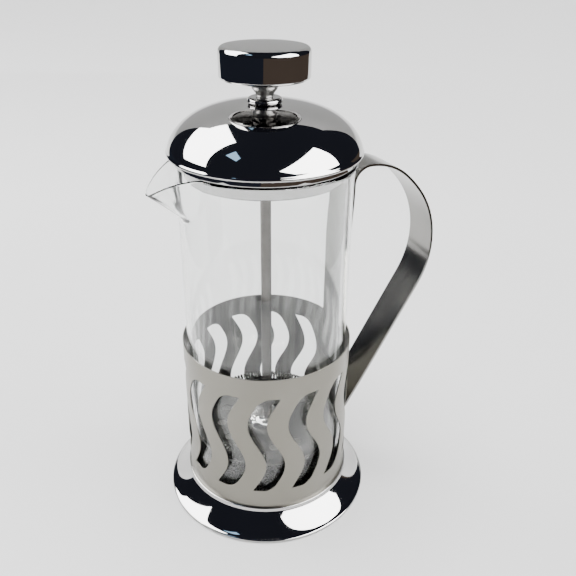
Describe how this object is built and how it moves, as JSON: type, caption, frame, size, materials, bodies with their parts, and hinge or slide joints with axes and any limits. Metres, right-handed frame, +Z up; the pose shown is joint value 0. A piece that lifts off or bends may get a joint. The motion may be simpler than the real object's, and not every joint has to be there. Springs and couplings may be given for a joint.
{
  "type": "french press",
  "caption": "Small French press: slotted steel holder with a strip handle, glass beaker with a spout, domed lid and a sliding filter plunger with a round knob.",
  "frame": {"origin": "on the vessel's axis, in the plane that the foot stands on", "axes": "+Z up along the vessel's axis, +X towards the handle, -X towards the spout"},
  "size_m": [0.1167, 0.0858, 0.1859],
  "materials": {
    "polished_steel": "mirror-polished stainless steel",
    "satin_steel": "satin stainless steel",
    "spring_wire": "bright drawn wire",
    "wire_screen": "fine woven wire",
    "clear_glass": "clear polished glass",
    "moulded_plastic": "moulded"
  },
  "bodies": {
    "holder": {"foot_ring": "polished_steel", "sleeve": "satin_steel", "seat_ring": "satin_steel", "base_disc": "satin_steel", "handle": "satin_steel"},
    "glass": {"beaker": "clear_glass"},
    "lid": {"lid_dome": "polished_steel", "lid_pan": "polished_steel", "guide_bush": "polished_steel", "bush_nut": "satin_steel"},
    "plunger": {"knob_shell": "polished_steel", "knob_base": "polished_steel", "knob_core": "moulded_plastic", "knob_neck": "polished_steel", "plunger_rod": "satin_steel", "hub_cap": "polished_steel", "spring_plate": "polished_steel", "coil_spring": "spring_wire", "mesh_screen": "wire_screen", "cross_plate": "satin_steel", "lower_boss": "satin_steel"}
  },
  "joints": [
    {"name": "glass_lift", "type": "slide", "parent": "holder", "child": "glass", "axis": [0, 0, 1], "range_m": [0, 0.14]},
    {"name": "lid_lift", "type": "slide", "parent": "glass", "child": "lid", "axis": [0, 0, 1], "range_m": [0, 0.13]},
    {"name": "plunger_slide", "type": "slide", "parent": "lid", "child": "plunger", "axis": [0, 0, 1], "range_m": [0, 0.105]}
  ]
}
